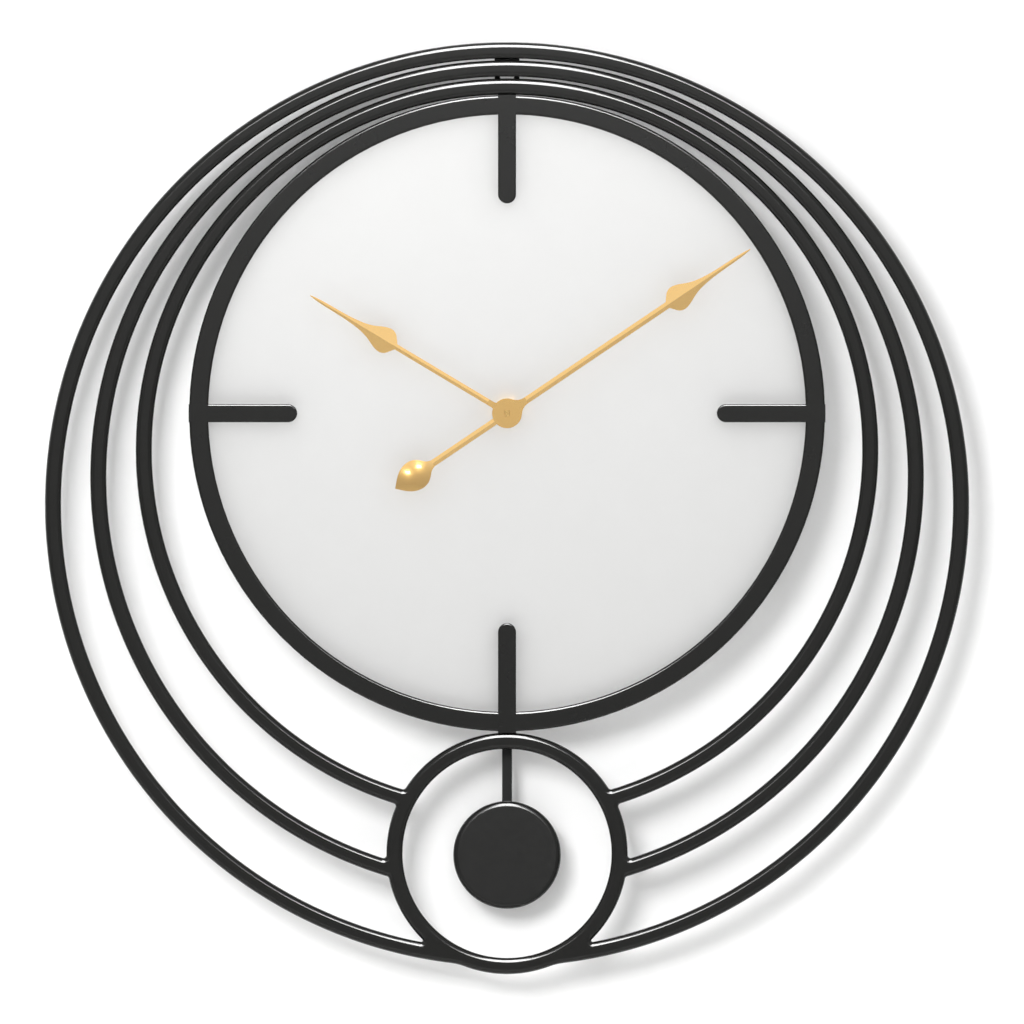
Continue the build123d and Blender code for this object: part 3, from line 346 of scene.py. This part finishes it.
def flat_face(loops):
    """Triangles between the loops, as indices into all their points in order."""
    points = np.concatenate(loops)
    edges = []
    first = 0
    for loop in loops:
        edges += [(first + i, first + (i + 1) % len(loop)) for i in range(len(loop))]
        first += len(loop)
    corners = [Vector(point) for point in points]
    _, _, faces, origins, _, _ = delaunay_2d_cdt(corners, edges, [], 0, MERGE_DISTANCE)
    triangles = np.array([[origins[v][0] for v in face] for face in faces])
    kept = triangles[inside(points[triangles].mean(axis=1), loops)]
    a, b, c = (points[kept[:, i]] for i in range(3))
    area = (b[:, 0] - a[:, 0]) * (c[:, 1] - a[:, 1]) - (b[:, 1] - a[:, 1]) * (c[:, 0] - a[:, 0])
    kept[area < 0] = kept[area < 0][:, ::-1]
    return kept


def welded_frame():
    """The four rings as one piece, with its own normals so that its highlights run unbroken."""
    low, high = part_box("pendulum_ring")
    rows = edge_profile(high.y - low.y)
    places, normals, faces = [], [], []
    front_rows, back_rows = [], []
    loops = outlines()
    for loop in loops:
        start, count = len(places), len(loop)
        x, z, inward_x, inward_z = loop.T
        for inset, depth, outward, frontward in rows:
            places += zip(x + inset * inward_x, np.full(count, high.y - depth), z + inset * inward_z)
            normals += zip(-outward * inward_x, np.full(count, -frontward), -outward * inward_z)
        metal_on_left = (x[1] - x[0]) * inward_z[0] - (z[1] - z[0]) * inward_x[0] > 0
        for row in range(len(rows) - 1):
            for i in range(count):
                here, there = start + row * count + i, start + row * count + (i + 1) % count
                quad = (here, there, there + count, here + count)
                faces.append(quad if metal_on_left else quad[::-1])
        back_rows += range(start, start + count)
        front_rows += range(start + (len(rows) - 1) * count, start + len(rows) * count)
    for triangle in flat_face([loop[:, :2] + FRONT_EDGE * loop[:, 2:] for loop in loops]):
        faces.append(tuple(front_rows[i] for i in triangle))
        faces.append(tuple(back_rows[i] for i in triangle[::-1]))
    mesh = bpy.data.meshes.new("welded_frame")
    mesh.from_pydata(places, [], faces)
    mesh.shade_smooth()
    mesh.normals_split_custom_set_from_vertices(normals)
    mesh.materials.append(FINISHES["frame_paint"])
    obj = bpy.data.objects.new("welded_frame", mesh)
    bpy.context.scene.collection.objects.link(obj)
    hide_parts("outer_ring", "middle_ring", "inner_ring", "pendulum_ring")
    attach(obj, "frame")


welded_frame()


# ---- The battery ----

# A turned cell: a sleeve shrunk round a steel can and over its rims, with the contact cap at one end.

SLEEVE_T = 0.0003
SLEEVE_LIP = 0.0018
RIM_R = 0.0009
GROOVE = 0.0002
GROOVE_FROM_END = 0.0038
CAN_INSET = 0.0001
CAN_CHAMFER = 0.0004
CAP_LENGTH = 0.001
CAP_R = 0.0029
CELL_SEGMENTS = 96
RIM_STEPS = 5
SHARP_ANGLE = math.radians(40)


def turned(name, profile, place, slot, hollow=False):
    """A round piece along +X, from a profile of distances along and radii: a loop if it is hollow."""
    places = []
    for along, radius in profile:
        for step in range(CELL_SEGMENTS):
            angle = 2 * math.pi * step / CELL_SEGMENTS
            places.append(place + Vector((along, radius * math.cos(angle), radius * math.sin(angle))))
    rings = [range(row * CELL_SEGMENTS, (row + 1) * CELL_SEGMENTS) for row in range(len(profile))]
    pairs = list(zip(rings, rings[1:]))
    faces = []
    if hollow:
        pairs.append((rings[-1], rings[0]))
    else:
        faces += [tuple(rings[0])[::-1], tuple(rings[-1])]
    for ring, following in pairs:
        for step in range(CELL_SEGMENTS):
            after = (step + 1) % CELL_SEGMENTS
            faces.append((ring[step], ring[after], following[after], following[step]))
    mesh = bpy.data.meshes.new(name)
    mesh.from_pydata(places, [], faces)
    mesh.shade_smooth()
    mesh.set_sharp_from_angle(angle=SHARP_ANGLE)
    mesh.materials.append(FINISHES[slot])
    obj = bpy.data.objects.new(name, mesh)
    bpy.context.scene.collection.objects.link(obj)
    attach(obj, "frame")
    return obj


def rim(end, radius, inward):
    """A rim's quarter turn, from the side to the end face; inward is the way along from the end."""
    points = []
    for step in range(RIM_STEPS + 1):
        turn = QUARTER_TURN * step / RIM_STEPS
        points.append((end + inward * RIM_R * (1 - math.sin(turn)), radius - RIM_R * (1 - math.cos(turn))))
    return points


def battery():
    """The can and its sleeve, where the plain cell is."""
    low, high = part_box("battery")
    middle = (low + high) / 2
    radius = (high.z - low.z) / 2
    place = Vector((low.x, middle.y, middle.z))
    length = high.x - low.x
    body = length - CAP_LENGTH
    groove = body - GROOVE_FROM_END
    bore = radius - SLEEVE_T
    can_r = bore - CAN_INSET
    lip = radius - SLEEVE_LIP
    can_start = SLEEVE_T
    can_end = body - SLEEVE_T
    can = [(can_start, can_r - CAN_CHAMFER), (can_start + CAN_CHAMFER, can_r)]
    can += [(can_end - CAN_CHAMFER, can_r), (can_end, can_r - CAN_CHAMFER), (can_end, CAP_R)]
    can += [(length - CAN_CHAMFER, CAP_R), (length, CAP_R - CAN_CHAMFER)]
    turned("battery_can", can, place, "crystal_can")
    sleeve = [(0.0, lip)] + rim(0.0, radius, 1)[::-1]
    sleeve += [(groove - GROOVE, radius), (groove, radius - GROOVE), (groove + GROOVE, radius)]
    sleeve += rim(body, radius, -1) + [(body, lip), (can_end, lip), (can_end, radius - RIM_R)]
    sleeve += [(body - RIM_R, bore), (RIM_R, bore), (can_start, radius - RIM_R), (can_start, lip)]
    jacket = turned("battery_jacket", sleeve, place, "cell_jacket", hollow=True)
    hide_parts("battery")


battery()


# ---- The wall and the floor ----

WALL_Y = 0.0006
WALL_HALF = 2.5
WALL_FOOT = CENTRE.z - 1.0
FLOOR_HALF = 4.0
FLOOR_FRONT = -5.0
FLOOR_BACK = 4.0


def sheet(name, corners, mat):
    """A flat backdrop."""
    mesh = bpy.data.meshes.new(name)
    mesh.from_pydata(corners, [], [(0, 1, 2, 3)])
    mesh.materials.append(mat)
    obj = bpy.data.objects.new(name, mesh)
    bpy.context.scene.collection.objects.link(obj)
    return obj


# The wall is clear from behind, so that the back of the clock can be seen.
wall_mat, wall_tree, wall_shader = surface("wall_paint", (0.90, 0.90, 0.90), rough=0.9, grain=500,
                                           depth=0.00005, variation=0.01, wear=1.0)
behind = wall_tree.nodes.new("ShaderNodeNewGeometry")
clear = wall_tree.nodes.new("ShaderNodeBsdfTransparent")
either = wall_tree.nodes.new("ShaderNodeMixShader")
wall_tree.links.new(behind.outputs["Backfacing"], either.inputs["Fac"])
wall_tree.links.new(wall_shader.outputs["BSDF"], either.inputs[1])
wall_tree.links.new(clear.outputs["BSDF"], either.inputs[2])
wall_tree.links.new(either.outputs["Shader"], wall_tree.nodes["Material Output"].inputs["Surface"])
wall_top = WALL_FOOT + 2 * WALL_HALF
wall_corners = [(-WALL_HALF, WALL_Y, WALL_FOOT), (WALL_HALF, WALL_Y, WALL_FOOT),
                (WALL_HALF, WALL_Y, wall_top), (-WALL_HALF, WALL_Y, wall_top)]
wall = sheet("wall", wall_corners, wall_mat)
wall.visible_shadow = False

floor_mat, _, _ = surface("floor_paint", (0.78, 0.78, 0.77), rough=0.6, grain=80, depth=0.0001,
                          variation=0.02, wear=1.0)
floor_corners = [(-FLOOR_HALF, FLOOR_FRONT, WALL_FOOT), (FLOOR_HALF, FLOOR_FRONT, WALL_FOOT),
                 (FLOOR_HALF, FLOOR_BACK, WALL_FOOT), (-FLOOR_HALF, FLOOR_BACK, WALL_FOOT)]
sheet("floor", floor_corners, floor_mat)


# ---- Light ----


def area_light(name, target, offset, size, watts):
    """A rectangular lamp at an offset from its target and turned to it, with its width and height."""
    place = target + Vector(offset)
    data = bpy.data.lights.new(name, "AREA")
    data.shape = "RECTANGLE"
    data.size, data.size_y = size
    data.energy = watts
    obj = bpy.data.objects.new(name, data)
    obj.location = place
    obj.rotation_mode = "QUATERNION"
    obj.rotation_quaternion = (target - place).to_track_quat("-Z", "Y")
    bpy.context.scene.collection.objects.link(obj)
    return obj


def for_only(light, nodes):
    """The light falls on these pieces and no others."""
    group = bpy.data.collections.new(light.name + "_for")
    for node in nodes:
        group.objects.link(frame["nodes"][node])
    light.light_linking.receiver_collection = group


def not_for(light, nodes):
    """The light falls on everything but these pieces."""
    for_only(light, nodes)
    for member in light.light_linking.receiver_collection.collection_objects:
        member.light_linking.link_state = "EXCLUDE"


# The room is brighter above than below: its strength, and the heights of the view between which it grows.
ROOM_LOW = 0.47
ROOM_HIGH = 0.86
ROOM_FROM = -0.26
ROOM_TO = 0.34

world = bpy.data.worlds.new("studio")
bpy.context.scene.world = world
world.use_nodes = True
tree = world.node_tree
direction = tree.nodes.new("ShaderNodeTexCoord")
parts = tree.nodes.new("ShaderNodeSeparateXYZ")
tree.links.new(direction.outputs["Generated"], parts.inputs["Vector"])
background = tree.nodes["Background"]
background.inputs["Color"].default_value = (1, 1, 1, 1)
room = ranged(tree, parts.outputs["Z"], ROOM_LOW, ROOM_HIGH, ROOM_FROM, ROOM_TO)
tree.links.new(room, background.inputs["Strength"])

PLATE = ("dial_plate",)
HANDS = ("hour_hand", "minute_hand", "minute_shaft")

# The soft key from the upper left casts the shadows on the wall.
key = area_light("key", CENTRE, offset=(-1.05, -2.75, 1.05), size=(1.1, 1.1), watts=58.0)
key.visible_glossy = False
not_for(key, PLATE)

# A tall strip above draws the highlights along the rings' rounded edges.
strip = area_light("strip", DIAL, offset=(0.0, -2.4, 1.7), size=(0.95, 2.75), watts=560.0)
strip.visible_diffuse = False
not_for(strip, (*HANDS, *PLATE))

# The plate gets a light of its own, which fades from its top to its bottom.
dial_light = area_light("dial_light", DIAL, offset=(-0.17, -0.5, 0.8), size=(0.3, 0.3), watts=9.0)
dial_light.visible_glossy = False
dial_light.data.use_shadow = False
for_only(dial_light, PLATE)

# The hands' upper faces shine, and the domed leaf on the tail has two glints.
hand_light = area_light("hand_light", DIAL, offset=(0.0, -1.15, 0.38), size=(1.1, 0.42), watts=0.48)
for_only(hand_light, HANDS)
for name, offset in (("glint_right", (0.035, -1.0, 0.130)), ("glint_left", (-0.160, -1.0, 0.032))):
    glint = area_light(name, DIAL, offset, size=(0.07, 0.022), watts=0.13)
    glint.visible_diffuse = False
    for_only(glint, HANDS)

# Two lights behind the wall show the back.
area_light("back_left", CENTRE, offset=(-1.6, 1.8, 0.8), size=(1.2, 1.2), watts=22.0)
area_light("back_right", CENTRE, offset=(1.6, 1.8, 0.6), size=(1.2, 1.2), watts=16.0)


# ---- Camera ----

# The view is straight on and parallel, a little right of the dial's centre and below it.
FRAMED_WIDTH = 0.5539
VIEW_POINT = DIAL + Vector((0.00268, -1.5, -0.0534))

camera_data = bpy.data.cameras.new("camera")
camera_data.type = "ORTHO"
camera_data.ortho_scale = FRAMED_WIDTH
camera = bpy.data.objects.new("camera", camera_data)
camera.location = VIEW_POINT
camera.rotation_euler = (QUARTER_TURN, 0, 0)
bpy.context.scene.collection.objects.link(camera)
bpy.context.scene.camera = camera

bpy.context.scene.view_settings.view_transform = "Standard"
